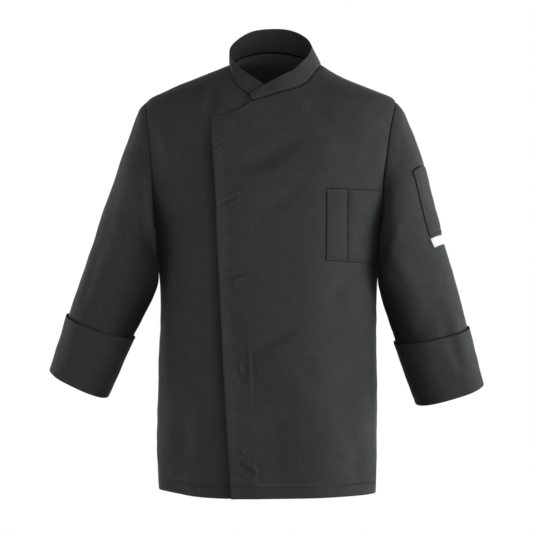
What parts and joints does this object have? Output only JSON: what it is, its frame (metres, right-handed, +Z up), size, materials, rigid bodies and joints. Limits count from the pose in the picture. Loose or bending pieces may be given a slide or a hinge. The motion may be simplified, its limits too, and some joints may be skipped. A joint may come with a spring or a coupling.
{
  "type": "chef jacket",
  "caption": "Double-breasted chef jacket in its worn hollow shape: stand collar, hidden press-stud front, divided chest pocket, sleeve pen pocket and deep turned-back cuffs.",
  "frame": {"origin": "where the wearer's neck and shoulders hold the jacket: the middle of the neck, level with the tops of the shoulder seams", "axes": "+Z up along the body, -Y the front of the jacket, +X the wearer's left"},
  "size_m": [0.7816, 0.2737, 0.8326],
  "materials": {
    "jacket_cloth": "charcoal poly-cotton twill, matt with a faint sheen",
    "label_cloth": "plain white woven label, left bare"
  },
  "bodies": {
    "root": {"back": "jacket_cloth", "right_front": "jacket_cloth", "left_front": "jacket_cloth", "collar": "jacket_cloth", "right_sleeve": "jacket_cloth", "left_sleeve": "jacket_cloth", "right_cuff": "jacket_cloth", "left_cuff": "jacket_cloth", "chest_pocket": "jacket_cloth", "sleeve_pocket": "jacket_cloth", "label": "label_cloth"}
  },
  "joints": []
}
